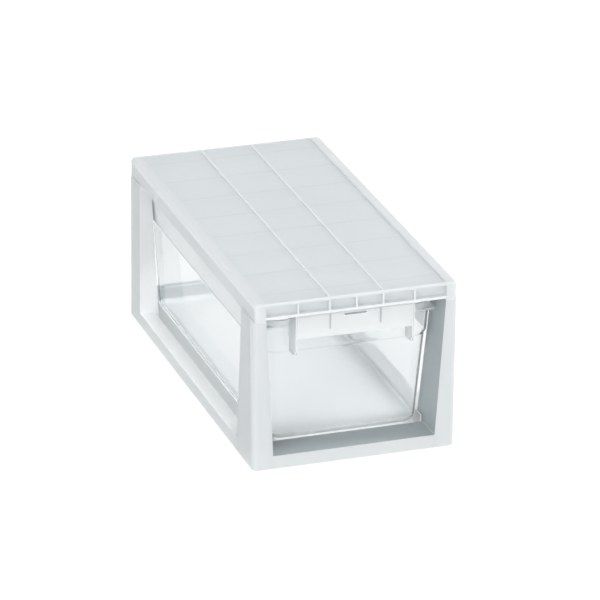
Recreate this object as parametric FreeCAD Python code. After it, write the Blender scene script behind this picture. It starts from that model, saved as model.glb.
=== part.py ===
"""Stackable drawer box: a translucent housing snapped together from six mouldings,
with a clear drawer tray that slides out at the front on two runners.

Millimetres. X is the width, +Y points from the front to the back, +Z is up.
The origin is the centre of the footprint, on the surface that the box stands on.
Each piece is modelled with y counted from the front face and moved back at the end."""
import FreeCAD, Part
import os
from FreeCAD import Vector

os.makedirs("parts", exist_ok=True)

# Overall size of the closed unit
width = 200.0
depth = 394.0
height = 168.0

# Sizes that all housing mouldings share
wall = 2.0
fit = 0.3
overrun = 5.0
front_corner_radius = 6.0
rear_corner_radius = 4.0
cover_height = 18.0

# Front opening: its posts widen towards the sill, so that the bay behind them narrows
post_width_top = 11.6
post_width_low = 19.7
sill_height = 13.0
sill_depth = 33.0

# Side window, with a front edge that leans forward towards the top
window_lean_top = 39.0
window_lean_low = 49.4
window_rear_post = 33.0
ledge_width = 15.0

# Corner seams between the front frame, the side frames and the rear frame
front_seam_top = 12.6
front_seam_low = 5.3
rear_return = 8.0

# Tongue on each side frame that plugs into the channel of the top cover
tongue_rise = 10.0
pad_drop = 10.0

# Rear frame
rear_rail_height = 27.0
rear_rail_depth = 8.0

# Base frame with its floor opening, the two runners and the tray's side guides
floor_thickness = 2.0
floor_front_strip = 41.0
floor_rear_strip = 4.0
runner_inset = 33.0
runner_shelf = 5.0
runner_thickness = 2.0
guide_wall = 1.4
guide_rise = 7.0

# Top cover
cover_skin = 2.0
field_recess = 1.2
border_width = 11.4
cover_edge_radius = 1.8
bead_offset = 26.3
bead_width = 1.6
front_lip_width = 1.6
beam_height = 16.0
beam_flange = 2.5
beam_depth = 8.0
beam_rib = 1.6
beam_outer_rib_offset = 57.3
cover_rib_height = 8.0
cover_rib_thickness = 1.4
cover_rib_count = 8

# Drawer tray
tray_wall = 1.8
tray_headroom = 16.0
tray_corner_radius = 18.0
tray_bottom_radius = 6.0
tray_side_gap = 13.2
tray_rim_reach = 1.4
tray_rim_corner_radius = 3.0
tray_band_draft = 2.0
tray_shoulder_step = 1.4
tray_side_draft = 5.4
tray_rim_thickness = 1.8
tray_band_height = 25.0
tray_shoulder_drop = 3.0
tray_front_inset = 22.5
tray_front_waist_step = 2.0
tray_front_draft = 7.5
tray_rear_gap = 9.0
tray_rear_rim = 2.0
tray_rear_waist_step = 2.0
tray_rear_draft = 6.0

# Stop: lugs on the tray rim meet catches inside the front frame
stop_lug_length = 4.0
stop_lug_height = 9.0
stop_lug_width = 3.4
stop_lug_from_rear = 44.0
catch_clearance = 3.0
catch_height = 11.0
catch_length = 4.0
catch_reach = 4.4

# Drawer pull, clipped over the front wall of the tray
pull_face_inset = 3.0
pull_wall = 1.8
pull_side_gap = 41.5
pull_cheek_thickness = 2.2
pull_top_clearance = 1.5
pull_lip_drop = 23.5
pull_cheek_drop = 41.8
pull_cheek_radius = 9.0
pull_foot = 3.0
pull_foot_height = 1.6
pull_leg_drop = 28.0
gusset_offset = 24.9
gusset_thickness = 1.6
gusset_reach = 15.0
gusset_drop = 14.0
gusset_shoulder_drop = 5.7
gusset_tip = 1.7
slot_half = 10.8
slot_height = 1.8
slot_from_plate = 0.4

# Places worked out from the sizes above
half = width / 2
seam_height = height - cover_height
bay_half_top = half - post_width_top
bay_half_low = half - post_width_low
window_rear = depth - window_rear_post
runner_top = sill_height
runner_half_gap = half - runner_inset
tray_bottom = runner_top + fit
tray_top = seam_height - tray_headroom
tray_shoulder_height = tray_top - tray_band_height
tray_rim_half = half - tray_side_gap
tray_top_half = tray_rim_half - tray_rim_reach
tray_shoulder_half = tray_top_half - tray_band_draft
tray_waist_half = tray_shoulder_half - tray_shoulder_step
tray_bottom_half = tray_waist_half - tray_side_draft
pull_half = half - pull_side_gap
beam_half = half - border_width
cover_under = height - field_recess - cover_skin
beam_clear_height = height - beam_height
ledge_inner = half - ledge_width
pull_top = beam_clear_height - pull_top_clearance


def block(x0, x1, y0, y1, z0, z1):
    """A box between two values on each axis."""
    return Part.makeBox(x1 - x0, y1 - y0, z1 - z0, Vector(x0, y0, z0))


def prism_x(outline, x0, x1):
    """A (y, z) outline, extruded along X."""
    points = [Vector(x0, y, z) for y, z in outline]
    return Part.Face(Part.makePolygon(points + points[:1])).extrude(Vector(x1 - x0, 0, 0))


def prism_y(outline, y0, y1):
    """An (x, z) outline, extruded along Y."""
    points = [Vector(x, y0, z) for x, z in outline]
    return Part.Face(Part.makePolygon(points + points[:1])).extrude(Vector(0, y1 - y0, 0))


def join(shapes):
    """One clean solid from shapes that touch or overlap."""
    return shapes[0].fuse(shapes[1:]).removeSplitter()


def mirror_x(shape):
    """The same shape on the other side of the middle plane."""
    return shape.mirror(Vector(0, 0, 0), Vector(1, 0, 0))


def with_mirror(shapes):
    """The shapes, followed by their mirror images."""
    return shapes + [mirror_x(shape) for shape in shapes]


def flip_y(shape):
    """Swap front and back, for a piece modelled from the rear face inwards."""
    flipped = shape.mirror(Vector(0, 0, 0), Vector(0, 1, 0))
    flipped.translate(Vector(0, depth, 0))
    return flipped


def round_upright(shape, x, y, radius):
    """Round the vertical edge that stands at (x, y)."""
    near = fit / 2
    edges = [edge for edge in shape.Edges
             if all(abs(v.X - x) < near and abs(v.Y - y) < near for v in edge.Vertexes)]
    return shape.makeFillet(radius, edges)


def between(low, top, z):
    """A size that runs evenly from low at the sill to top at the cover seam."""
    return low + (top - low) * (z - sill_height) / (seam_height - sill_height)


def bay_half(z):
    """Half the width between the posts' inner faces at height z."""
    return between(bay_half_low, bay_half_top, z)


def window_lean(z):
    """How far behind the front face the window's front edge is at height z."""
    return between(window_lean_low, window_lean_top, z)


def front_seam(z):
    """How far behind the front face the front frame's corner ends at height z."""
    return between(front_seam_low, front_seam_top, z)


def rear_seam(z):
    """How far before the rear face the rear frame's corner ends."""
    return rear_return


def region_beyond(limit, outline):
    """What an (x, z) outline holds beyond limit(z), counted in from the end face."""
    low, high = -overrun, seam_height + overrun
    far = max(limit(low), limit(high)) + depth / 2
    slab = prism_x([(limit(low), low), (far, low), (far, high), (limit(high), high)], 0, half + overrun)
    return slab.common(prism_y(outline, 0, depth))


def post(corner_radius, inner_end, deck_end, corner_end):
    """The right-hand post of an end frame, a channel that is open towards the bay.

    inner_end, deck_end and corner_end give, at height z, how far the inner plate, the
    top deck and the outer plate reach in from the end face."""
    low, high = -overrun, seam_height + overrun
    longest = max(inner_end(0), inner_end(seam_height)) + overrun
    outer = prism_y([(bay_half(0), 0), (half, 0), (half, seam_height), (bay_half(seam_height), seam_height)],
                    0, longest)
    outer = round_upright(outer, half, 0, corner_radius)
    deck = seam_height - wall
    cavity = prism_y([(bay_half(-overrun) + wall, -overrun), (half - wall, -overrun),
                      (half - wall, deck), (bay_half(deck) + wall, deck)], wall, longest + overrun)
    cavity = round_upright(cavity, half - wall, wall, corner_radius - wall)
    everything = [(0, low), (half + overrun, low), (half + overrun, high), (0, high)]
    past_inner_plate = [(bay_half(low) + wall, low), (half + overrun, low),
                        (half + overrun, high), (bay_half(high) + wall, high)]
    deck_limit = half - 2 * wall - fit
    past_deck = [(deck_limit, low), (half + overrun, low), (half + overrun, high), (deck_limit, high)]
    body = outer.cut(cavity).cut(region_beyond(inner_end, everything))
    return body.cut(region_beyond(deck_end, past_inner_plate)).cut(region_beyond(corner_end, past_deck))


def rail(rail_depth, rail_height, pocket_end):
    """The low cross rail of an end frame: end plate, top flange, and what is behind the pocket."""
    end = bay_half(0) + wall
    body = block(-end, end, 0, rail_depth, 0, rail_height)
    pocket = block(-end, end, wall, pocket_end, -overrun, rail_height - wall)
    return body.cut(pocket)


def make_front_frame():
    """U-shaped front: sill, two posts with deep inner plates, and the drawer catches."""
    catch_low = tray_top + catch_clearance
    catch_top = catch_low + catch_height
    catch_outline = [(bay_half(catch_low) - catch_reach, catch_low),
                     (bay_half(catch_low) + wall / 2, catch_low),
                     (bay_half(catch_top) + wall / 2, catch_top),
                     (bay_half(catch_top) - catch_reach, catch_top)]
    catch_rear = window_lean(catch_top) - wall
    catch = prism_y(catch_outline, catch_rear - catch_length, catch_rear)
    def deck_end(z):
        return window_lean(z) - wall
    channel = post(front_corner_radius, window_lean, deck_end, front_seam)
    return join([rail(sill_depth, sill_height, sill_depth - wall)] + with_mirror([channel, catch]))


def make_rear_frame():
    """U-shaped rear: a higher rail and two shallow posts, sized like the front ones."""
    def post_end(z):
        return window_rear_post - wall
    channel = post(rear_corner_radius, post_end, post_end, rear_seam)
    open_rail = rail(rear_rail_depth, rear_rail_height, rear_rail_depth + overrun)
    return flip_y(join([open_rail] + with_mirror([channel])))


def make_side_frame():
    """Right-hand side: outer plate with its window, reveals, ledge rail and tongue."""
    rear_edge = depth - rear_return
    plate = prism_x([(front_seam(0), 0), (rear_edge, 0), (rear_edge, seam_height),
                     (front_seam(seam_height), seam_height)], half - wall, half)
    window = prism_x([(window_lean(sill_height), sill_height), (window_rear, sill_height),
                      (window_rear, seam_height + overrun),
                      (window_lean(seam_height + overrun), seam_height + overrun)],
                     half - wall - overrun, half + overrun)
    plate = plate.cut(window)

    front_reveal = prism_x([(window_lean(0) - wall, 0), (window_lean(0), 0),
                            (window_lean(seam_height), seam_height),
                            (window_lean(seam_height) - wall, seam_height)], 0, half)
    past_inner_plate = prism_y([(bay_half(0) + wall, 0), (half, 0), (half, seam_height),
                                (bay_half(seam_height) + wall, seam_height)], 0, depth)
    past_bay = prism_y([(bay_half(0), 0), (half, 0), (half, seam_height),
                        (bay_half(seam_height), seam_height)], 0, depth)
    front_reveal = front_reveal.common(past_inner_plate)
    rear_reveal = block(0, half, window_rear, window_rear + wall, 0, seam_height).common(past_bay)

    rail_rear = window_rear + wall
    rail_front = window_lean(sill_height) - wall / 2
    ledge = block(ledge_inner, half, rail_front, rail_rear, sill_height - wall, sill_height)
    rail_wall = prism_x([(window_lean(0) - wall / 2, 0), (rail_rear, 0), (rail_rear, sill_height),
                         (rail_front, sill_height)], ledge_inner, ledge_inner + wall)

    pad_low = seam_height - pad_drop
    tongue_front = front_seam(seam_height) + fit
    tongue_rear = rear_edge - fit
    tongue = block(half - 2 * wall - fit, half - wall - fit, tongue_front, tongue_rear,
                   seam_height, seam_height + tongue_rise)
    front_pad = block(half - 2 * wall, half - wall, tongue_front, window_lean(seam_height),
                      pad_low, seam_height)
    rear_pad = block(half - 2 * wall, half - wall, window_rear, tongue_rear, pad_low, seam_height)
    return join([plate, front_reveal, rear_reveal, ledge, rail_wall, tongue, front_pad, rear_pad])


def make_base_frame():
    """Floor ring with a large opening, and a runner and a guide wall on each side."""
    front = sill_depth
    rear = depth - wall
    narrow = bay_half(0) - fit
    narrow_front_end = window_lean(0) + fit
    narrow_rear_start = window_rear - fit
    ring = join([block(-narrow, narrow, front, rear, 0, floor_thickness),
                 block(-ledge_inner, ledge_inner, narrow_front_end, narrow_rear_start,
                       0, floor_thickness)])
    opening = block(-runner_half_gap, runner_half_gap, front + floor_front_strip,
                    rear - floor_rear_strip, -overrun, floor_thickness + overrun)
    shelf_end = runner_half_gap + runner_shelf
    shelf_under = runner_top - runner_thickness
    web_inner = shelf_end - runner_thickness
    runner = prism_y([(web_inner, 0), (web_inner, shelf_under), (runner_half_gap, shelf_under),
                      (runner_half_gap, runner_top), (shelf_end, runner_top), (shelf_end, 0)],
                     front, rear)
    guide = block(narrow - guide_wall, narrow, front, rear, 0, runner_top + guide_rise)
    return join([ring.cut(opening)] + with_mirror([runner, guide]))


def make_top_cover():
    """Shallow lid: recessed field with two beads, side channels, front beam, ribs below."""
    shell = block(-half, half, 0, depth, seam_height, height)
    for x in (-half, half):
        shell = round_upright(shell, x, 0, front_corner_radius)
        shell = round_upright(shell, x, depth, rear_corner_radius)
    top_edges = [edge for edge in shell.Edges if all(abs(v.Z - height) < fit for v in edge.Vertexes)]
    shell = shell.makeFillet(cover_edge_radius, top_edges)

    pocket = block(-half + wall, half - wall, wall, depth - wall, seam_height - overrun, cover_under)
    for x in (-half + wall, half - wall):
        pocket = round_upright(pocket, x, wall, front_corner_radius - wall)
        pocket = round_upright(pocket, x, depth - wall, rear_corner_radius - wall)
    field = block(-beam_half, beam_half, front_lip_width, depth - front_lip_width,
                  height - field_recess, height + overrun)
    shell = shell.cut(pocket).cut(field)

    mouth = block(-beam_half, beam_half, -overrun, wall, seam_height - overrun, cover_under)
    shell = shell.cut(mouth)

    bead_half = bead_width / 2
    rib_half = cover_rib_thickness / 2
    field_top = height - field_recess
    bead = block(bead_offset - bead_half, bead_offset + bead_half, 0, depth - front_lip_width,
                 field_top - cover_skin, height)
    long_rib = block(bead_offset - bead_half, bead_offset + bead_half, 0, depth - wall,
                     cover_under - cover_rib_height, cover_under)
    channel_wall = block(beam_half, beam_half + wall, 0, depth - wall, beam_clear_height, cover_under)
    beam_web = block(-beam_half, beam_half, beam_depth - wall, beam_depth, beam_clear_height, cover_under)
    beam_flange_plate = block(-beam_half, beam_half, 0, beam_depth, beam_clear_height,
                              beam_clear_height + beam_flange)
    pieces = [shell, beam_web, beam_flange_plate]
    pieces += with_mirror([bead, long_rib, channel_wall])
    for x in (-beam_outer_rib_offset, -bead_offset, 0, bead_offset, beam_outer_rib_offset):
        pieces.append(block(x - beam_rib / 2, x + beam_rib / 2, 0, beam_depth,
                            beam_clear_height, cover_under))
    pitch = depth / cover_rib_count
    for index in range(cover_rib_count):
        y = pitch * (index + 1 / 2)
        pieces.append(block(-beam_half, beam_half, y - rib_half, y + rib_half,
                            cover_under - cover_rib_height, cover_under))
    return join(pieces)


def rounded_section(half_width, front, rear, radius, z):
    """A level rectangle with round corners, as a closed wire."""
    x, r = half_width, radius
    k = r * (1 - 1 / 2 ** (1 / 2))
    corners = []
    for (cx, cy, ax, ay, bx, by) in ((x, rear, 0, -r, -r, 0), (-x, rear, r, 0, 0, -r),
                                     (-x, front, 0, r, r, 0), (x, front, -r, 0, 0, r)):
        sx = -1 if cx > 0 else 1
        sy = -1 if cy == rear else 1
        start = Vector(cx + ax, cy + ay, z)
        middle = Vector(cx + sx * k, cy + sy * k, z)
        finish = Vector(cx + bx, cy + by, z)
        corners.append((start, middle, finish))
    edges = []
    for index, (start, middle, finish) in enumerate(corners):
        edges.append(Part.Arc(start, middle, finish).toShape())
        following = corners[(index + 1) % len(corners)][0]
        edges.append(Part.LineSegment(finish, following).toShape())
    return Part.Wire(edges)


def tray_loft(inset, bottom, top):
    """The tray's form: round bottom edge, drafted body, small shoulder, band under the rim."""
    front_waist = tray_front_inset + tray_front_waist_step
    front_low = front_waist + tray_front_draft
    rear_band = depth - tray_rear_gap - tray_rear_rim
    rear_waist = rear_band - tray_rear_waist_step
    rear_low = rear_waist - tray_rear_draft
    levels = [(bottom, tray_bottom_half, front_low, rear_low),
              (tray_shoulder_height - tray_shoulder_drop, tray_waist_half, front_waist, rear_waist),
              (tray_shoulder_height, tray_shoulder_half, tray_front_inset, rear_band),
              (top, tray_top_half, tray_front_inset, rear_band)]
    wires = [rounded_section(half_width - inset, front + inset, rear - inset, tray_corner_radius - inset, z)
             for z, half_width, front, rear in levels]
    body = Part.makeLoft(wires, True, True)
    bottom_edges = [edge for edge in body.Edges if all(abs(v.Z - bottom) < fit / 2 for v in edge.Vertexes)]
    return body.makeFillet(tray_bottom_radius - inset, bottom_edges)


def make_drawer_tray():
    """Clear tray: thin drafted walls, a rim flange that fills its corners, two stop lugs."""
    outside = tray_loft(0, tray_bottom, tray_top)
    inside = tray_loft(tray_wall, tray_bottom + tray_wall, tray_top)
    headroom = rounded_section(tray_top_half - tray_wall, tray_front_inset + tray_wall,
                               depth - tray_rear_gap - tray_rear_rim - tray_wall,
                               tray_corner_radius - tray_wall, tray_top)
    headroom = Part.Face(headroom).extrude(Vector(0, 0, overrun))
    rim = rounded_section(tray_rim_half, tray_front_inset, depth - tray_rear_gap,
                          tray_rim_corner_radius, tray_top - tray_rim_thickness)
    rim = Part.Face(rim).extrude(Vector(0, 0, tray_rim_thickness))
    lug_front = depth - stop_lug_from_rear
    lug = block(tray_rim_half - stop_lug_width, tray_rim_half, lug_front, lug_front + stop_lug_length,
                tray_top - tray_rim_thickness, tray_top + stop_lug_height)
    body = join([outside, rim] + with_mirror([lug]))
    return body.cut(inside).cut(headroom)


def make_drawer_pull():
    """Clip-on pull: lip, top plate, leg behind the tray's front wall, cheeks, gussets."""
    face = pull_face_inset
    leg_front = tray_front_inset + tray_wall + fit
    leg_rear = leg_front + pull_wall
    plate_under = pull_top - pull_wall
    lip_low = pull_top - pull_lip_drop
    tip = pull_top - pull_cheek_drop
    lip = block(-pull_half, pull_half, face, face + pull_wall, lip_low, pull_top)
    foot = block(-pull_half, pull_half, face, face + pull_foot, lip_low, lip_low + pull_foot_height)
    top_plate = block(-pull_half, pull_half, face, leg_rear, plate_under, pull_top)
    leg = block(-pull_half, pull_half, leg_front, leg_rear, pull_top - pull_leg_drop, pull_top)

    cheek = block(pull_half - pull_cheek_thickness, pull_half, face, tray_front_inset, tip, pull_top)
    lower_front = [edge for edge in cheek.Edges
                   if all(abs(v.Y - face) < fit and abs(v.Z - tip) < fit for v in edge.Vertexes)]
    cheek = cheek.makeFillet(pull_cheek_radius, lower_front)
    over_rim = block(pull_half - pull_cheek_thickness, pull_half, face, leg_rear, tray_top + fit, pull_top)

    behind_lip = face + pull_wall
    gusset_low = plate_under - gusset_drop
    gusset = prism_x([(behind_lip, plate_under), (behind_lip + gusset_reach, plate_under),
                      (behind_lip + gusset_reach, plate_under - gusset_shoulder_drop),
                      (behind_lip + gusset_tip, gusset_low), (behind_lip, gusset_low)],
                     gusset_offset - gusset_thickness / 2, gusset_offset + gusset_thickness / 2)
    slot_top = plate_under - slot_from_plate
    slot = block(-slot_half, slot_half, face - overrun, behind_lip, slot_top - slot_height, slot_top)
    body = join([lip, foot, top_plate, leg] + with_mirror([cheek, over_rim, gusset]))
    return body.cut(slot)


def save(name, shape):
    """Move a piece so that the origin is mid-footprint, check it and write its file."""
    placed = shape.copy()
    placed.translate(Vector(0, -depth / 2, 0))
    box = placed.BoundBox
    print("%-18s solids %d valid %s volume %.0f mm3 box %.1f %.1f %.1f to %.1f %.1f %.1f" % (
        name, len(placed.Solids), placed.isValid(), placed.Volume,
        box.XMin, box.YMin, box.ZMin, box.XMax, box.YMax, box.ZMax))
    placed.exportStep("parts/%s.step" % name)


right_side_frame = make_side_frame()
save("front_frame", make_front_frame())
save("rear_frame", make_rear_frame())
save("right_side_frame", right_side_frame)
save("left_side_frame", mirror_x(right_side_frame))
save("base_frame", make_base_frame())
save("top_cover", make_top_cover())
save("drawer_tray", make_drawer_tray())
save("drawer_pull", make_drawer_pull())
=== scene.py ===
import bmesh
import bpy
import math
from mathutils import Matrix, Vector


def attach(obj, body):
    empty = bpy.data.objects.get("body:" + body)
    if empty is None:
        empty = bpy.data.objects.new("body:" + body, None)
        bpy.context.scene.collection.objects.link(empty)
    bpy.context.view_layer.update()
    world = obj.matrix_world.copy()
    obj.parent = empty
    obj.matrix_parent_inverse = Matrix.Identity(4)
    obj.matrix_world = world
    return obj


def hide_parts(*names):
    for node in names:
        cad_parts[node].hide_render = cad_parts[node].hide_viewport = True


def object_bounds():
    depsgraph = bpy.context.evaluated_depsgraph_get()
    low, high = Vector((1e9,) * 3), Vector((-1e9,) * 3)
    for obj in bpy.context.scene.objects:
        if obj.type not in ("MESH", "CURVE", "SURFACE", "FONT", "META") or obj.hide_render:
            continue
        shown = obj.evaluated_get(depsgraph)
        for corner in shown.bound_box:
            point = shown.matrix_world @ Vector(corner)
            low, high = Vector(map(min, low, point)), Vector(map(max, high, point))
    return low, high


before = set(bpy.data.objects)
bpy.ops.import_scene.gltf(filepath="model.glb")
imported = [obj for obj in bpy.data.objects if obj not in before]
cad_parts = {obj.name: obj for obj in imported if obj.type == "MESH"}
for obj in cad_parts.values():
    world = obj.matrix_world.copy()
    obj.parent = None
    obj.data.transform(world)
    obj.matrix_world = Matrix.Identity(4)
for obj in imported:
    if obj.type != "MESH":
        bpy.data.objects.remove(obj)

cad_low, cad_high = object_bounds()
bpy.context.scene.view_settings.view_transform = "Standard"

# Camera: where the photograph was taken from, found from seven corners of the box. It
# stands in front, to the left and above, far away behind a long lens.
box_width = cad_high.x - cad_low.x
view_turn, view_rise, view_roll = [math.radians(turn) for turn in (-19.1391643, 23.0563933, 0.767661786)]
view_distance = 22.1834563 * box_width
look_at_height = 0.4 * box_width
shift_right, shift_up = 0.0584549350 * box_width, 0.00662251274 * box_width
view_back = Vector((math.sin(view_turn) * math.cos(view_rise),
                    -math.cos(view_turn) * math.cos(view_rise), math.sin(view_rise)))
level_right = (-view_back).cross(Vector((0, 0, 1))).normalized()
level_up = level_right.cross(-view_back)
view_right = math.cos(view_roll) * level_right + math.sin(view_roll) * level_up
view_up = -math.sin(view_roll) * level_right + math.cos(view_roll) * level_up
camera_data = bpy.data.cameras.new("photo_camera")
camera_data.sensor_width = 36.0
camera_data.lens = 274.354
camera_data.clip_start, camera_data.clip_end = 0.1, 60.0
camera = bpy.data.objects.new("photo_camera", camera_data)
bpy.context.scene.collection.objects.link(camera)
camera_place = (Vector((0, 0, look_at_height)) + view_back * view_distance
                + view_right * shift_right + view_up * shift_up)
camera.matrix_world = Matrix((
    (view_right.x, view_up.x, view_back.x, camera_place.x),
    (view_right.y, view_up.y, view_back.y, camera_place.y),
    (view_right.z, view_up.z, view_back.z, camera_place.z),
    (0, 0, 0, 1)))
bpy.context.scene.camera = camera

# Floor: a white table top that keeps a faint shadow of the box. What the camera sees of it
# is brought up to white by its own material, and half as much where it shows through plastic.
floor_mesh = bpy.data.meshes.new("floor")
floor_reach = 9.0
floor_mesh.from_pydata([(-floor_reach, -floor_reach, 0), (floor_reach, -floor_reach, 0),
                        (floor_reach, floor_reach, 0), (-floor_reach, floor_reach, 0)], [], [(0, 1, 2, 3)])
floor = bpy.data.objects.new("floor", floor_mesh)
bpy.context.scene.collection.objects.link(floor)
floor_paint = bpy.data.materials.new("white_table")
floor_paint.use_nodes = True
nodes, links = floor_paint.node_tree.nodes, floor_paint.node_tree.links
nodes.clear()
floor_out = nodes.new("ShaderNodeOutputMaterial")
floor_plain = nodes.new("ShaderNodeBsdfDiffuse")
floor_plain.inputs["Color"].default_value = (0.88, 0.88, 0.88, 1)
floor_seen = nodes.new("ShaderNodeBsdfDiffuse")
floor_seen.inputs["Color"].default_value = (0.3, 0.3, 0.3, 1)
floor_glow = nodes.new("ShaderNodeEmission")
floor_glow.inputs["Strength"].default_value = 0.74
floor_sum = nodes.new("ShaderNodeAddShader")
floor_pick = nodes.new("ShaderNodeMixShader")
ray = nodes.new("ShaderNodeLightPath")
seen_a = nodes.new("ShaderNodeMath")
seen_a.operation = "MAXIMUM"
seen_b = nodes.new("ShaderNodeMath")
seen_b.operation = "MULTIPLY_ADD"
seen_b.inputs[1].default_value = 0.5
links.new(ray.outputs["Is Camera Ray"], seen_a.inputs[0])
links.new(ray.outputs["Is Glossy Ray"], seen_a.inputs[1])
links.new(ray.outputs["Is Transmission Ray"], seen_b.inputs[0])
links.new(seen_a.outputs[0], seen_b.inputs[2])
links.new(seen_b.outputs[0], floor_pick.inputs[0])
links.new(floor_plain.outputs[0], floor_pick.inputs[1])
links.new(floor_seen.outputs[0], floor_sum.inputs[0])
links.new(floor_glow.outputs[0], floor_sum.inputs[1])
links.new(floor_sum.outputs[0], floor_pick.inputs[2])
links.new(floor_pick.outputs[0], floor_out.inputs["Surface"])
floor_mesh.materials.append(floor_paint)

# Studio light: an even white room, large soft boxes by the camera, on the left and, weaker,
# overhead, and a small low lamp on the right that shines in through the side window.
room = bpy.data.worlds.new("white_room")
bpy.context.scene.world = room
room.use_nodes = True
nodes, links = room.node_tree.nodes, room.node_tree.links
nodes.clear()
room_out = nodes.new("ShaderNodeOutputWorld")
room_lit = nodes.new("ShaderNodeBackground")
room_lit.inputs["Strength"].default_value = 0.85
room_seen = nodes.new("ShaderNodeBackground")
room_seen.inputs["Strength"].default_value = 1.0
room_pick = nodes.new("ShaderNodeMixShader")
ray = nodes.new("ShaderNodeLightPath")
seen_a = nodes.new("ShaderNodeMath")
seen_a.operation = "MAXIMUM"
seen_b = nodes.new("ShaderNodeMath")
seen_b.operation = "MAXIMUM"
links.new(ray.outputs["Is Camera Ray"], seen_a.inputs[0])
links.new(ray.outputs["Is Glossy Ray"], seen_a.inputs[1])
links.new(seen_a.outputs[0], seen_b.inputs[0])
links.new(ray.outputs["Is Transmission Ray"], seen_b.inputs[1])
links.new(seen_b.outputs[0], room_pick.inputs[0])
links.new(room_lit.outputs[0], room_pick.inputs[1])
links.new(room_seen.outputs[0], room_pick.inputs[2])
links.new(room_pick.outputs[0], room_out.inputs["Surface"])


def soft_box(name, place, target, size, watts):
    """A square area lamp that points at the target."""
    data = bpy.data.lights.new(name, "AREA")
    data.size = size
    data.energy = watts
    lamp = bpy.data.objects.new(name, data)
    lamp.location = place
    lamp.rotation_mode = "QUATERNION"
    lamp.rotation_quaternion = (Vector(target) - Vector(place)).to_track_quat("-Z", "Y")
    bpy.context.scene.collection.objects.link(lamp)


soft_box("front_soft_box", (-0.9, -3.3, 1.5), (0, 0, 0.08), 2.2, 27)
soft_box("overhead_soft_box", (-0.6, 0.4, 2.6), (0, 0, 0.08), 2.0, 8)
soft_box("left_soft_box", (-2.6, -2.3, 1.9), (0, 0, 0.08), 1.6, 40)
soft_box("right_low_lamp", (2.5, -0.5, 1.3), (0, 0, 0.05), 0.35, 30)

# Front frame: the sill and two hollow posts with deep inner faces, one moulding in milky
# translucent polypropylene with a fine satin surface. It snaps to the side frames and
# under the cover. Its rounded edges get a near-white plastic as a painted highlight, and
# its deep inner faces and the sill's top a grey one as painted shade.


def moulding_marks():
    """Grain of the tool's surface, and the slow cloudiness that the melt leaves in a wall."""
    group = bpy.data.node_groups.new("moulding_marks", "ShaderNodeTree")
    face = group.interface
    for label, value in (("Grain Scale", 900.0), ("Cloud Scale", 14.0)):
        socket = face.new_socket(name=label, in_out="INPUT", socket_type="NodeSocketFloat")
        socket.default_value = value
    for label in ("Grain", "Cloud"):
        face.new_socket(name=label, in_out="OUTPUT", socket_type="NodeSocketFloat")
    inner = group.nodes
    enter, leave = inner.new("NodeGroupInput"), inner.new("NodeGroupOutput")
    place = inner.new("ShaderNodeTexCoord")
    grain = inner.new("ShaderNodeTexNoise")
    grain.inputs["Detail"].default_value = 3.0
    cloud = inner.new("ShaderNodeTexNoise")
    cloud.inputs["Detail"].default_value = 4.0
    cloud.inputs["Distortion"].default_value = 0.6
    group.links.new(place.outputs["Object"], grain.inputs["Vector"])
    group.links.new(place.outputs["Object"], cloud.inputs["Vector"])
    group.links.new(enter.outputs["Grain Scale"], grain.inputs["Scale"])
    group.links.new(enter.outputs["Cloud Scale"], cloud.inputs["Scale"])
    group.links.new(grain.outputs["Fac"], leave.inputs["Grain"])
    group.links.new(cloud.outputs["Fac"], leave.inputs["Cloud"])
    return group


marks = moulding_marks()


def plastic(name, dark, light, rough, transmission, passes,
            grain_scale=900, grain_depth=0.00004, cloud_scale=16, bend=1.49):
    """A moulded plastic: its colour clouds between dark and light, its surface has the tool's
    grain, and each surface lets the share called passes of the lamps' light through."""
    paint = bpy.data.materials.new(name)
    paint.use_nodes = True
    tree = paint.node_tree
    shader = tree.nodes["Principled BSDF"]
    shader.inputs["IOR"].default_value = bend
    shader.inputs["Transmission Weight"].default_value = transmission
    detail = tree.nodes.new("ShaderNodeGroup")
    detail.node_tree = marks
    detail.inputs["Grain Scale"].default_value = grain_scale
    detail.inputs["Cloud Scale"].default_value = cloud_scale
    tint = tree.nodes.new("ShaderNodeMix")
    tint.name = "tint"
    tint.data_type = "RGBA"
    tint.inputs["A"].default_value = (*dark, 1)
    tint.inputs["B"].default_value = (*light, 1)
    sheen = tree.nodes.new("ShaderNodeMapRange")
    sheen.inputs["To Min"].default_value = rough - 0.04
    sheen.inputs["To Max"].default_value = rough + 0.04
    bump = tree.nodes.new("ShaderNodeBump")
    bump.inputs["Strength"].default_value = 0.3
    bump.inputs["Distance"].default_value = grain_depth
    tree.links.new(detail.outputs["Cloud"], tint.inputs["Factor"])
    tree.links.new(tint.outputs["Result"], shader.inputs["Base Color"])
    tree.links.new(detail.outputs["Cloud"], sheen.inputs["Value"])
    tree.links.new(sheen.outputs["Result"], shader.inputs["Roughness"])
    tree.links.new(detail.outputs["Grain"], bump.inputs["Height"])
    tree.links.new(bump.outputs["Normal"], shader.inputs["Normal"])
    let_through = tree.nodes.new("ShaderNodeBsdfTransparent")
    let_through.inputs["Color"].default_value = (passes, passes, passes, 1)
    pick = tree.nodes.new("ShaderNodeMixShader")
    ray = tree.nodes.new("ShaderNodeLightPath")
    tree.links.new(ray.outputs["Is Shadow Ray"], pick.inputs[0])
    tree.links.new(shader.outputs["BSDF"], pick.inputs[1])
    tree.links.new(let_through.outputs["BSDF"], pick.inputs[2])
    tree.links.new(pick.outputs["Shader"], tree.nodes["Material Output"].inputs["Surface"])
    return paint


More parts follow.
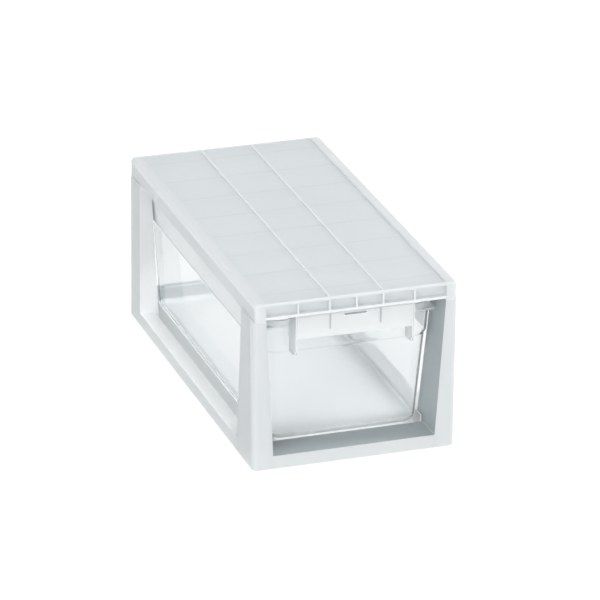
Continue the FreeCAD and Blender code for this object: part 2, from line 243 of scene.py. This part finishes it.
housing_plastic = plastic("housing_plastic", (0.83, 0.865, 0.88), (0.88, 0.905, 0.915),
                          rough=0.36, transmission=0.65, passes=0.5)
front_plastic = plastic("front_plastic", (0.765, 0.80, 0.815), (0.815, 0.843, 0.853),
                        rough=0.38, transmission=0.3, passes=0.25)
# Painted highlight: a near-white copy of the housing plastic for the rounded edges of the mouldings.
painted_edge_highlight = plastic("painted_edge_highlight", (0.96, 0.97, 0.975), (0.985, 0.99, 0.992),
                       rough=0.42, transmission=0.05, passes=0.5, grain_depth=0.00003)


def finish_piece(piece, edge_radius, body, materials, replaced, sharp_from=36):
    """Round the sharp edges, keep the flat faces flat, give the materials and the body."""
    for paint in materials:
        piece.data.materials.append(paint)
    piece.data.shade_smooth()
    if edge_radius:
        rounding = piece.modifiers.new("edge_radius", "BEVEL")
        rounding.width = edge_radius
        rounding.segments = 3
        rounding.limit_method = "ANGLE"
        rounding.angle_limit = math.radians(sharp_from)
        rounding.material = len(materials) - 1
        rounding.use_clamp_overlap = True
    else:
        for face in piece.data.polygons:
            face.use_smooth = max(abs(share) for share in face.normal) < 0.999
    seams = piece.modifiers.new("closed_seams", "WELD")
    seams.merge_threshold = 2e-6
    flat = piece.modifiers.new("flat_faces", "WEIGHTED_NORMAL")
    flat.weight = 100
    flat.keep_sharp = True
    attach(piece, body)
    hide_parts(*replaced)
    return piece


def moulded_copy(node, name, edge_radius, body, materials, pick=None):
    """A merged copy of a CAD node with the small edge radius of a moulding, which replaces the
    node. A pick gives the number of a face's material from its middle in mm and its normal."""
    form = bmesh.new()
    form.from_mesh(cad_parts[node].data)
    bmesh.ops.remove_doubles(form, verts=form.verts, dist=2e-6)
    bmesh.ops.dissolve_limit(form, angle_limit=math.radians(1.0), verts=form.verts, edges=form.edges)
    form.verts.index_update()
    mesh = bpy.data.meshes.new(name)
    mesh.from_pydata([v.co[:] for v in form.verts], [], [[v.index for v in f.verts] for f in form.faces])
    form.free()
    if pick:
        for face in mesh.polygons:
            face.material_index = pick(face.center * 1000, face.normal)
    piece = bpy.data.objects.new(name, mesh)
    bpy.context.scene.collection.objects.link(piece)
    return finish_piece(piece, edge_radius, body, materials, [node])


# Painted shade: a grey copy of the front plastic for the deep inner faces and the sill's top.
painted_shade_plastic = plastic("painted_shade_plastic", (0.485, 0.545, 0.565), (0.545, 0.60, 0.615),
                       rough=0.34, transmission=0.35, passes=0.2)


def paint_front_shade(middle, normal):
    """The deep inner faces of the posts and the top of the sill get a greyer plastic than the front, as
    painted shade.
    """
    post_half, sill_level = 90, 14
    inner_side = normal.x * middle.x < 0 and abs(normal.x) > 0.9 and abs(middle.x) < post_half
    sill_top = normal.z > 0.9 and middle.z < sill_level
    return 1 if inner_side or sill_top else 0


front_frame = moulded_copy("front_frame", "front_frame_moulding", 0.0006, "housing",
                           [front_plastic, painted_shade_plastic, painted_edge_highlight], paint_front_shade)

# Rear frame: a low rail and two narrow posts round the open back, one moulding snapped to
# the side frames and under the cover. It lies in the box's own shade, and its plastic is
# painted greyer as painted shade.
rear_shade_plastic = plastic("rear_shade_plastic", (0.66, 0.71, 0.725), (0.71, 0.755, 0.77),
                       rough=0.36, transmission=0.4, passes=0.3)
rear_frame = moulded_copy("rear_frame", "rear_frame_moulding", 0.0006, "housing",
                          [rear_shade_plastic, painted_edge_highlight])

# Side frames: a plate with the large leaning window, its reveals and ledge, and the
# tongue that plugs into the cover. Left and right are mirror images.
# Painted light: a whiter copy of the side plastic for the lit ledge and reveals.
painted_light_reveal = plastic("painted_light_reveal", (0.93, 0.945, 0.95), (0.96, 0.968, 0.972),
                         rough=0.40, transmission=0.45, passes=0.7)


def paint_side_light(middle, normal):
    """The ledge and the reveals round the window get a whiter plastic than the plate, as painted light."""
    ledge_level, window_top = 14, 149
    ledge = normal.z > 0.9 and middle.z < ledge_level
    reveal = abs(normal.y) > 0.9 and ledge_level < middle.z < window_top
    return 1 if ledge or reveal else 0


right_side = moulded_copy("right_side_frame", "right_side_moulding", 0.0005, "housing",
                          [housing_plastic, painted_light_reveal, painted_edge_highlight], paint_side_light)
left_side = moulded_copy("left_side_frame", "left_side_moulding", 0.0005, "housing",
                         [housing_plastic, painted_light_reveal, painted_edge_highlight], paint_side_light)

# Base frame: the floor ring, with the runners that carry the tray and its side guides.
# Its walls are thinner, so more light comes through them; its plastic is also painted whiter, as painted
# light.
base_light_plastic = plastic("base_light_plastic", (0.92, 0.945, 0.95), (0.95, 0.965, 0.97),
                       rough=0.30, transmission=0.8, passes=0.6)
base_frame = moulded_copy("base_frame", "base_frame_moulding", 0.0004, "housing",
                          [base_light_plastic, painted_edge_highlight])

# Top cover: a shallow lid in the same plastic, satin on its recessed field. Two beads run
# from the front lip to the rear one and split the field in three panels.
COVER_WIDE, COVER_DEEP = 100.0, 394.0
SEAM, TOP, FIELD, UNDER = 150.0, 168.0, 166.8, 164.8
FIELD_HALF, LIP = 88.6, 1.6
BEAD, BEAD_HALF = 26.3, 0.8
SKIN, CUT_LOW, BITE = 2.0, 140.0, 0.5
CHANNEL, BEAM_LOW, FLANGE_TOP, WEB_BACK = 89.6, 152.0, 154.5, 8.0
RIB_COUNT, RIB_HIGH, RIB_MIDDLE = 8, 7.9, 3.9


def from_front(x, y, z):
    """Metres, in the frame of the CAD, from millimetres with y counted from the front face."""
    return Vector((x / 1000, (y - COVER_DEEP / 2) / 1000, z / 1000))


def rounded_ring(x0, x1, y0, y1, z, front_radius, rear_radius, steps=8):
    """The corners of a level rectangle with round corners, anticlockwise from above."""
    ring = []
    for cx, cy, radius, start in ((x1 - front_radius, y0 + front_radius, front_radius, -90),
                                  (x1 - rear_radius, y1 - rear_radius, rear_radius, 0),
                                  (x0 + rear_radius, y1 - rear_radius, rear_radius, 90),
                                  (x0 + front_radius, y0 + front_radius, front_radius, 180)):
        for step in range(steps + 1):
            turn = math.radians(start + 90 * step / steps)
            ring.append(from_front(cx + radius * math.cos(turn), cy + radius * math.sin(turn), z))
    return ring


def stacked_rings(name, rings):
    """A closed form through level rings with equal counts, given from the bottom up."""
    count = len(rings[0])
    points = [point for ring in rings for point in ring]
    faces = [[index * count + side, index * count + (side + 1) % count,
              (index + 1) * count + (side + 1) % count, (index + 1) * count + side]
             for index in range(len(rings) - 1) for side in range(count)]
    faces.append(list(range(count))[::-1])
    faces.append([(len(rings) - 1) * count + side for side in range(count)])
    mesh = bpy.data.meshes.new(name)
    mesh.from_pydata(points, [], faces)
    piece = bpy.data.objects.new(name, mesh)
    bpy.context.scene.collection.objects.link(piece)
    return piece


def slab(name, x0, x1, y0, y1, z0, z1, radius=0.0):
    """A block with round upright corners."""
    if radius:
        return stacked_rings(name, [rounded_ring(x0, x1, y0, y1, z, radius, radius, 4) for z in (z0, z1)])
    corners = ((x0, y0), (x1, y0), (x1, y1), (x0, y1))
    return stacked_rings(name, [[from_front(x, y, z) for x, y in corners] for z in (z0, z1)])


def combine(piece, tools, operation):
    """Cut the tools from a piece, or join them to it, and delete the tools."""
    for tool in tools:
        step = piece.modifiers.new("combine", "BOOLEAN")
        step.operation = operation
        step.solver = "EXACT"
        step.object = tool
    bpy.context.view_layer.update()
    result = bpy.data.meshes.new_from_object(piece.evaluated_get(bpy.context.evaluated_depsgraph_get()))
    piece.modifiers.clear()
    piece.data = result
    split = bmesh.new()
    split.from_mesh(result)
    bmesh.ops.remove_doubles(split, verts=split.verts, dist=2e-5)
    bmesh.ops.dissolve_degenerate(split, edges=split.edges, dist=2e-5)
    bmesh.ops.triangulate(split, faces=[face for face in split.faces if len(face.verts) > 4])
    split.to_mesh(result)
    split.free()
    for tool in tools:
        bpy.data.objects.remove(tool)


SIDE_ROUND, END_ROUND, SKIRT_STEP = 4.5, 1.8, 0.7
SKIRT_TOP, STEP_TOP = 162.2, 163.1


def cover_ring(z, skirt=0.0):
    """The cover's outline at a height, where its long edges have a larger radius than its ends."""
    side_rise, end_rise = max(0.0, z - TOP + SIDE_ROUND), max(0.0, z - TOP + END_ROUND)
    side = SIDE_ROUND - math.sqrt(max(0.0, SIDE_ROUND ** 2 - side_rise ** 2)) + skirt
    end = END_ROUND - math.sqrt(max(0.0, END_ROUND ** 2 - end_rise ** 2))
    corner = (side + end) / 2
    return rounded_ring(-COVER_WIDE + side, COVER_WIDE - side, end, COVER_DEEP - end, z,
                        6 - corner, 4 - corner * 0.7)


cover_rings = [cover_ring(SEAM, SKIRT_STEP), cover_ring(SKIRT_TOP, SKIRT_STEP), cover_ring(STEP_TOP)]
cover_rings += [cover_ring(TOP - SIDE_ROUND * (1 - math.sin(math.radians(turn))))
                for turn in range(0, 91, 9)]
cover_shell = stacked_rings("top_cover_shell", cover_rings)
hollow = stacked_rings("cover_hollow", [
    rounded_ring(-COVER_WIDE + SKIN, COVER_WIDE - SKIN, SKIN, COVER_DEEP - SKIN, z, 4, 2)
    for z in (CUT_LOW, UNDER)])
mouth = slab("cover_mouth", -FIELD_HALF, FIELD_HALF, -5, 3, CUT_LOW, UNDER)
panels = [slab("cover_panel", x0, x1, LIP, COVER_DEEP - LIP, FIELD, TOP + 5, 1.2)
          for x0, x1 in ((-FIELD_HALF, -BEAD - BEAD_HALF), (-BEAD + BEAD_HALF, BEAD - BEAD_HALF),
                         (BEAD + BEAD_HALF, FIELD_HALF))]
combine(cover_shell, [hollow, mouth] + panels, "DIFFERENCE")
walls = [slab("channel_wall", side * CHANNEL - 1, side * CHANNEL + 1, 0.3, COVER_DEEP - 1.5,
              BEAM_LOW, UNDER + BITE) for side in (-1, 1)]
beam = [slab("beam_web", -89, 89, WEB_BACK - SKIN, WEB_BACK, BEAM_LOW, UNDER + BITE),
        slab("beam_flange", -89, 89, 0, WEB_BACK, BEAM_LOW, FLANGE_TOP)]
combine(cover_shell, walls + beam, "UNION")
cover_plastic = plastic("cover_plastic", (0.78, 0.82, 0.84), (0.83, 0.865, 0.88),
                        rough=0.38, transmission=0.45, passes=0.4, cloud_scale=10)
border_plastic = plastic("border_plastic", (0.82, 0.855, 0.87), (0.87, 0.895, 0.905),
                         rough=0.40, transmission=0.35, passes=0.4)
# Painted highlight and painted light: a whiter copy of the cover plastic for the bead tops and the beam's
# front faces.
painted_highlight_plastic = plastic("painted_highlight_plastic", (0.86, 0.885, 0.895), (0.90, 0.915, 0.925),
                       rough=0.40, transmission=0.2, passes=0.6, grain_depth=0.00003)
# Painted shade: darker lines in the cover's colour over each cross rib, for the ribs' shade seen through the
# skin.
tree = cover_plastic.node_tree
place = tree.nodes.new("ShaderNodeTexCoord")
split = tree.nodes.new("ShaderNodeSeparateXYZ")
RIB_PITCH = COVER_DEEP / RIB_COUNT / 1000
to_rib = tree.nodes.new("ShaderNodeMath")
to_rib.operation = "PINGPONG"
to_rib.inputs[1].default_value = RIB_PITCH / 2
mark = tree.nodes.new("ShaderNodeMapRange")
mark.inputs["From Min"].default_value = RIB_PITCH / 2 - 0.0016
mark.inputs["From Max"].default_value = RIB_PITCH / 2 - 0.0004
mark.inputs["To Max"].default_value = 0.55
painted_rib_shade = tree.nodes.new("ShaderNodeMix")
painted_rib_shade.data_type = "RGBA"
painted_rib_shade.inputs["B"].default_value = (0.70, 0.745, 0.77, 1)
tree.links.new(place.outputs["Object"], split.inputs["Vector"])
tree.links.new(split.outputs["Y"], to_rib.inputs[0])
tree.links.new(to_rib.outputs["Value"], mark.inputs["Value"])
tree.links.new(mark.outputs["Result"], painted_rib_shade.inputs["Factor"])
tree.links.new(tree.nodes["tint"].outputs["Result"], painted_rib_shade.inputs["A"])
tree.links.new(painted_rib_shade.outputs["Result"], tree.nodes["Principled BSDF"].inputs["Base Color"])
painted = bmesh.new()
painted.from_mesh(cover_shell.data)
for point, across in ((from_front(0, LIP, TOP), (0, 1, 0)),
                      (from_front(0, COVER_DEEP - LIP, TOP), (0, 1, 0)),
                      (from_front(-FIELD_HALF, 0, TOP), (1, 0, 0)),
                      (from_front(FIELD_HALF, 0, TOP), (1, 0, 0))):
    tops = [face for face in painted.faces
            if face.normal.z > 0.99 and abs(face.calc_center_median().z * 1000 - TOP) < 0.01]
    parts = set(tops)
    for face in tops:
        parts.update(face.edges, face.verts)
    bmesh.ops.bisect_plane(painted, geom=list(parts), dist=1e-6, plane_co=point, plane_no=across)
# The bead tops and the beam's front face get the whiter plastic, and the lip tops the near-white one, as
# painted highlight.
for face in painted.faces:
    middle = face.calc_center_median() * 1000
    y = middle.y + COVER_DEEP / 2
    if face.normal.z > 0.99 and abs(middle.z - FIELD) < 0.1:
        face.material_index = 0
    elif face.normal.z > 0.99 and abs(middle.z - TOP) < 0.01 and abs(middle.x) < FIELD_HALF:
        face.material_index = 4 if y < LIP or y > COVER_DEEP - LIP else 2
    elif abs(middle.x) > 99 and middle.z < 162.5:
        face.material_index = 3
    else:
        face.material_index = 2 if y < 0.1 and middle.z < 155 and abs(middle.x) < FIELD_HALF else 1
painted.to_mesh(cover_shell.data)
painted.free()
finish_piece(cover_shell, 0.0004, "housing",
             [cover_plastic, border_plastic, painted_highlight_plastic, housing_plastic, painted_edge_highlight], ["top_cover"])


def ribs_on_points():
    """Geometry nodes: an equal rib on each point, made real and painted."""
    tree = bpy.data.node_groups.new("ribs_on_points", "GeometryNodeTree")
    face = tree.interface
    face.new_socket(name="Geometry", in_out="INPUT", socket_type="NodeSocketGeometry")
    for label, value in (("Rib Wide", 0.001), ("Rib Deep", 0.001), ("Rib High", 0.008)):
        socket = face.new_socket(name=label, in_out="INPUT", socket_type="NodeSocketFloat")
        socket.default_value = value
    face.new_socket(name="Plastic", in_out="INPUT", socket_type="NodeSocketMaterial")
    face.new_socket(name="Geometry", in_out="OUTPUT", socket_type="NodeSocketGeometry")
    add, link = tree.nodes.new, tree.links.new
    enter, leave = add("NodeGroupInput"), add("NodeGroupOutput")
    size = add("ShaderNodeCombineXYZ")
    rib = add("GeometryNodeMeshCube")
    spread = add("GeometryNodeInstanceOnPoints")
    real = add("GeometryNodeRealizeInstances")
    paint = add("GeometryNodeSetMaterial")
    link(enter.outputs["Rib Wide"], size.inputs["X"])
    link(enter.outputs["Rib Deep"], size.inputs["Y"])
    link(enter.outputs["Rib High"], size.inputs["Z"])
    link(size.outputs["Vector"], rib.inputs["Size"])
    link(enter.outputs["Geometry"], spread.inputs["Points"])
    link(rib.outputs["Mesh"], spread.inputs["Instance"])
    link(spread.outputs["Instances"], real.inputs["Geometry"])
    link(real.outputs["Geometry"], paint.inputs["Geometry"])
    link(enter.outputs["Plastic"], paint.inputs["Material"])
    link(paint.outputs["Geometry"], leave.inputs["Geometry"])
    return tree


rib_tree = ribs_on_points()


def ribs(name, middles, wide, deep, high, paint):
    """A piece of equal ribs whose middles are given in millimetres from the front face."""
    mesh = bpy.data.meshes.new(name)
    mesh.from_pydata([from_front(*middle) for middle in middles], [], [])
    piece = bpy.data.objects.new(name, mesh)
    bpy.context.scene.collection.objects.link(piece)
    step = piece.modifiers.new("ribs", "NODES")
    step.node_group = rib_tree
    given = {"Rib Wide": wide / 1000, "Rib Deep": deep / 1000, "Rib High": high / 1000, "Plastic": paint}
    for item in rib_tree.interface.items_tree:
        if item.item_type == "SOCKET" and item.in_out == "INPUT" and item.name in given:
            step[item.identifier] = given[item.name]
    bpy.context.view_layer.update()
    result = bpy.data.meshes.new_from_object(piece.evaluated_get(bpy.context.evaluated_depsgraph_get()))
    piece.modifiers.clear()
    piece.data = result
    return piece


# Cover ribs: eight thin ribs across the underside of the cover and one under each
# bead. They are seen through the milky skin as faint cross lines, and the cover's colour
# also carries a painted shade line over each cross rib.
rib_places = [COVER_DEEP / RIB_COUNT * (index + 0.5) for index in range(RIB_COUNT)]
cross_ribs = ribs("cover_cross_ribs", [(0, y, UNDER - RIB_MIDDLE) for y in rib_places],
                  wide=176.4, deep=1.4, high=RIB_HIGH, paint=housing_plastic)
long_ribs = ribs("cover_long_ribs", [(side * BEAD, 200.0, UNDER - RIB_MIDDLE) for side in (-1, 1)],
                 wide=1.6, deep=383.0, high=RIB_HIGH, paint=housing_plastic)
for piece in (cross_ribs, long_ribs):
    piece.data.materials.clear()
    finish_piece(piece, 0.0003, "housing", [housing_plastic, painted_edge_highlight], ["top_cover"])

# Front beam: the hollow front edge of the cover, closed by a web at its back and stiffened
# by five short ribs that make its six cells.
beam_ribs = ribs("front_beam_ribs", [(x, 3.3, 159.6) for x in (-57.3, -BEAD, 0, BEAD, 57.3)],
                 wide=1.6, deep=6.4, high=10.6, paint=housing_plastic)
beam_ribs.data.materials.clear()
finish_piece(beam_ribs, 0.0003, "housing", [border_plastic, painted_highlight_plastic], ["top_cover"])
# Painted light: the ribs' front faces get the whiter plastic, their other faces the border plastic.
for face in beam_ribs.data.polygons:
    face.material_index = 1 if face.normal.y < -0.9 else 0

# Drawer tray: one clear thin-walled moulding. Its drafted walls step out at a shoulder and
# end in a flange at the sides and the rear. The band over the shoulder, the bottom edge and
# the strip along the top of the front wall are frosted, the rest is polished.
TRAY_WALL, TRAY_CORNER = 1.8, 18.0
BAND_HALF, BAND_FRONT, BAND_LOW, BAND_HIGH, BAND_WALL = 84.6, 22.65, 133.0, 139.6, 2.4
tray_levels = [(13.3, 76.6, 32.0, 375.0, 18.0), (106.0, 82.0, 24.5, 381.0, 18.0),
               (109.0, 83.4, 22.7, 383.0, 18.0), (132.2, 85.26, 22.7, 383.0, 18.0)]


def between(low, high, share):
    """A value, or each value of a row, part of the way from low to high."""
    return tuple(a + (b - a) * share for a, b in zip(low, high))


def softened(levels, reach):
    """The same rows of sizes with each inner corner of the profile turned into a small curve."""
    soft = [levels[0]]
    for before, corner, after in zip(levels, levels[1:], levels[2:]):
        first = between(corner, before, min(0.4, reach / abs(before[0] - corner[0] + 1e-9)))
        last = between(corner, after, min(0.4, reach / abs(after[0] - corner[0] + 1e-9)))
        for share in (0.0, 0.25, 0.5, 0.75, 1.0):
            soft.append(between(between(first, corner, share), between(corner, last, share), share))
    return soft + [levels[-1]]


def tray_ring(z, half_width, front, rear, radius):
    """The tray's outline at a height: large front corners, smaller rear ones."""
    return rounded_ring(-half_width, half_width, front, rear, z, radius, min(radius, radius * 0.3 + 2.4), 10)


def bottom_curve(level, above, radius):
    """Rows of sizes round the tray's bottom edge."""
    rows = []
    for step in range(7):
        turn = math.radians(90 * step / 6)
        inset, rise = radius * (1 - math.sin(turn)), radius * (1 - math.cos(turn))
        z, half_width, front, rear, corner = between(level, above, rise / (above[0] - level[0]))
        rows.append((z, half_width - inset, front + inset, rear - inset, corner - inset))
    return rows


outer = bottom_curve(tray_levels[0], tray_levels[1], 6.0)
outer += softened([outer[-1]] + tray_levels[1:], 1.6)[1:]
rim = [(132.25, 86.5, 22.6, 384.7, 2.7), (132.5, 86.8, 22.5, 385.0, 3.0), (133.7, 86.8, 22.5, 385.0, 3.0),
       (134.0, 86.5, 22.8, 384.7, 2.7), (134.0, 83.9, 24.2, 381.5, 16.5), (133.7, 83.6, 24.5, 381.2, 16.2)]
inner_levels = [(z + TRAY_WALL * (index == 0), half_width - TRAY_WALL, front + TRAY_WALL,
                 rear - TRAY_WALL, radius - TRAY_WALL)
                for index, (z, half_width, front, rear, radius) in enumerate(tray_levels)]
inner = bottom_curve(inner_levels[0], inner_levels[1], 4.2)
inner += softened([inner[-1]] + inner_levels[1:], 1.6)[1:]
drawer_tray = stacked_rings("drawer_tray_moulding", [tray_ring(*row) for row in outer + rim + inner[::-1]])
lugs = [slab("stop_lug", x - 1.7, x + 1.7, 350.0, 354.0, 133.0, 143.0, 0.8) for x in (-85.1, 85.1)]
band_outer = [(point.x * 1000, point.y * 1000 + COVER_DEEP / 2)
              for point in tray_ring(BAND_LOW, BAND_HALF, BAND_FRONT, 383, TRAY_CORNER)]
band_right = sorted([(x, y) for x, y in band_outer if x > 0 and y < 31], key=lambda at: at[0])
band_left = [(-x, y) for x, y in band_right[::-1]]


def inward(x, y, wall):
    """The point of the inner surface that faces a point of the front wall's outer surface."""
    centre_x, centre_y = math.copysign(BAND_HALF - TRAY_CORNER, x), BAND_FRONT + TRAY_CORNER
    if abs(x) <= abs(centre_x):
        return x, y + wall
    share = 1 - wall / TRAY_CORNER
    return centre_x + (x - centre_x) * share, centre_y + (y - centre_y) * share


front_loop = band_left + band_right
front_loop = front_loop + [inward(x, y, BAND_WALL) for x, y in front_loop[::-1]]
front_band = stacked_rings("front_band", [[from_front(x, y, z) for x, y in front_loop]
                                          for z in (BAND_LOW, BAND_HIGH)])
combine(drawer_tray, lugs + [front_band], "UNION")
tray_plastic = plastic("tray_plastic", (0.925, 0.944, 0.949), (0.952, 0.966, 0.971),
                       rough=0.04, transmission=1.0, passes=0.96, grain_scale=300,
                       grain_depth=0.00001, cloud_scale=6, bend=1.35)
tray_frost = plastic("tray_frost", (0.92, 0.945, 0.955), (0.95, 0.968, 0.975),
                     rough=0.42, transmission=0.6, passes=0.85, grain_scale=700,
                     grain_depth=0.00002, cloud_scale=10, bend=1.4)
for face in drawer_tray.data.polygons:
    x, y, z = face.center * 1000
    rim_faces, over_shoulder, bottom_edge = z > 132.2, z > 107.5 and y > -150, 13.4 < z < 19.4
    if rim_faces or over_shoulder or bottom_edge:
        face.material_index = 1
finish_piece(drawer_tray, 0.0, "drawer", [tray_plastic, tray_frost], ["drawer_tray"])

# Drawer pull: a frosted moulding clipped over the tray's front wall. Its lip hangs in front
# of the wall with a small slot in it, two cheeks with a round lower corner reach down to
# the tray's shoulder, and two short gussets stiffen the lip and show through it. A painted
# shade line in the lip's colour marks each gusset, and the rounded edges get a whiter
# plastic as a painted highlight.
PULL_HALF, PULL_FACE, PULL_TOP, PULL_WALL = 58.5, 3.0, 150.5, 1.8
LIP_LOW, LEG_REAR = 127.0, 26.4
GUSSET, GUSSET_HALF, GUSSET_LOW = 24.9, 0.8, 134.7


def plate_with_slot(name, xs, zs, y0, y1):
    """An upright plate of three by three cells, whose middle cell is open."""
    points = [from_front(x, y, z) for y in (y0, y1) for z in zs for x in xs]
    faces = []
    for row in range(3):
        for column in range(3):
            if (row, column) == (1, 1):
                continue
            low = row * 4 + column
            faces += [(low, low + 1, low + 5, low + 4), (low + 20, low + 21, low + 17, low + 16)]
    outside = [0, 1, 2, 3, 7, 11, 15, 14, 13, 12, 8, 4]
    inside = [5, 9, 10, 6]
    for loop in (outside, inside):
        for first, last in zip(loop, loop[1:] + loop[:1]):
            faces.append((last, first, first + 16, last + 16))
    mesh = bpy.data.meshes.new(name)
    mesh.from_pydata(points, [], faces)
    piece = bpy.data.objects.new(name, mesh)
    bpy.context.scene.collection.objects.link(piece)
    return piece


def sideways_prism(name, outline, x0, x1):
    """A (y, z) outline, given anticlockwise seen from the right, between two places across."""
    return stacked_rings(name, [[from_front(x, y, z) for y, z in outline] for x in (x0, x1)])


slot_half, slot_low, slot_high = 10.8, 146.4, 148.3
drawer_pull = plate_with_slot("drawer_pull_moulding",
                              (-PULL_HALF + 0.2, -slot_half, slot_half, PULL_HALF - 0.2),
                              (LIP_LOW + 0.1, slot_low, slot_high, PULL_TOP - 0.2),
                              PULL_FACE + 0.1, PULL_FACE + PULL_WALL)
pull_parts = [slab("pull_plate", -PULL_HALF + 0.3, PULL_HALF - 0.3,
                   PULL_FACE + 0.9, LEG_REAR, 148.6, PULL_TOP),
              slab("pull_leg", -PULL_HALF + 0.5, PULL_HALF - 0.5,
                   LEG_REAR - PULL_WALL, LEG_REAR - 0.1, 122.5, 149.6),
              slab("pull_foot", -PULL_HALF + 0.4, PULL_HALF - 0.4,
                   PULL_FACE + 0.9, PULL_FACE + 3.0, LIP_LOW, LIP_LOW + 1.6)]
cheek_low, cheek_round = 108.7, 9.0
cheek = [(PULL_FACE + cheek_round * (1 - math.sin(math.radians(turn))),
          cheek_low + cheek_round * (1 - math.cos(math.radians(turn)))) for turn in range(90, -1, -10)]
cheek = [(22.5, cheek_low), (22.5, 134.3), (26.3, 134.3),
         (26.3, PULL_TOP - 0.1), (PULL_FACE, PULL_TOP - 0.1)] + cheek
gusset = [(3.9, GUSSET_LOW), (6.5, GUSSET_LOW), (19.8, 143.0), (19.8, 149.4), (3.9, 149.4)]
for side in (-1, 1):
    outer, inner = side * PULL_HALF, side * (PULL_HALF - 2.2)
    pull_parts.append(sideways_prism("pull_cheek", cheek, min(outer, inner), max(outer, inner)))
    pull_parts.append(sideways_prism("pull_gusset", gusset, side * GUSSET - GUSSET_HALF,
                                      side * GUSSET + GUSSET_HALF))
pull_plastic = plastic("pull_plastic", (0.885, 0.907, 0.914), (0.915, 0.932, 0.938),
                       rough=0.16, transmission=0.42, passes=0.6, grain_scale=700,
                       grain_depth=0.00002, cloud_scale=12, bend=1.4)
# Painted highlight: a whiter copy of the pull plastic for the pull's rounded edges.
pull_edge_highlight = plastic("pull_edge_highlight", (0.93, 0.945, 0.95), (0.955, 0.965, 0.97),
                    rough=0.3, transmission=0.15, passes=0.8, grain_scale=700,
                    grain_depth=0.00002, cloud_scale=12, bend=1.4)
# Painted shade: a dark line in the lip's colour over each gusset, above the gusset's low end.
tree = pull_plastic.node_tree
place = tree.nodes.new("ShaderNodeTexCoord")
split = tree.nodes.new("ShaderNodeSeparateXYZ")
outward = tree.nodes.new("ShaderNodeMath")
outward.operation = "ABSOLUTE"
to_gusset = tree.nodes.new("ShaderNodeMath")
to_gusset.operation = "SUBTRACT"
to_gusset.inputs[1].default_value = GUSSET / 1000
beside = tree.nodes.new("ShaderNodeMath")
beside.operation = "ABSOLUTE"
gusset_shade_mask = tree.nodes.new("ShaderNodeMapRange")
gusset_shade_mask.inputs["From Min"].default_value = 0.0006
gusset_shade_mask.inputs["From Max"].default_value = 0.0013
gusset_shade_mask.inputs["To Min"].default_value = 0.75
gusset_shade_mask.inputs["To Max"].default_value = 0.0
above = tree.nodes.new("ShaderNodeMath")
above.operation = "GREATER_THAN"
above.inputs[1].default_value = GUSSET_LOW / 1000
shown = tree.nodes.new("ShaderNodeMath")
shown.operation = "MULTIPLY"
painted_gusset_shade = tree.nodes.new("ShaderNodeMix")
painted_gusset_shade.data_type = "RGBA"
painted_gusset_shade.inputs["B"].default_value = (0.55, 0.60, 0.62, 1)
tree.links.new(place.outputs["Object"], split.inputs["Vector"])
tree.links.new(split.outputs["X"], outward.inputs[0])
tree.links.new(outward.outputs["Value"], to_gusset.inputs[0])
tree.links.new(to_gusset.outputs["Value"], beside.inputs[0])
tree.links.new(beside.outputs["Value"], gusset_shade_mask.inputs["Value"])
tree.links.new(split.outputs["Z"], above.inputs[0])
tree.links.new(gusset_shade_mask.outputs["Result"], shown.inputs[0])
tree.links.new(above.outputs["Value"], shown.inputs[1])
tree.links.new(shown.outputs["Value"], painted_gusset_shade.inputs["Factor"])
tree.links.new(tree.nodes["tint"].outputs["Result"], painted_gusset_shade.inputs["A"])
tree.links.new(painted_gusset_shade.outputs["Result"], tree.nodes["Principled BSDF"].inputs["Base Color"])
for part in [drawer_pull] + pull_parts:
    part.data.materials.append(pull_plastic)
    part.data.materials.append(pull_edge_highlight)
    rounding = part.modifiers.new("edge_radius", "BEVEL")
    rounding.width = 0.0003
    rounding.segments = 3
    rounding.limit_method = "ANGLE"
    rounding.angle_limit = math.radians(36)
    rounding.material = 1
combine(drawer_pull, pull_parts, "UNION")
finish_piece(drawer_pull, 0.0, "drawer", [], ["drawer_pull"])
drawer_pull.data.set_sharp_from_angle(angle=math.radians(40))
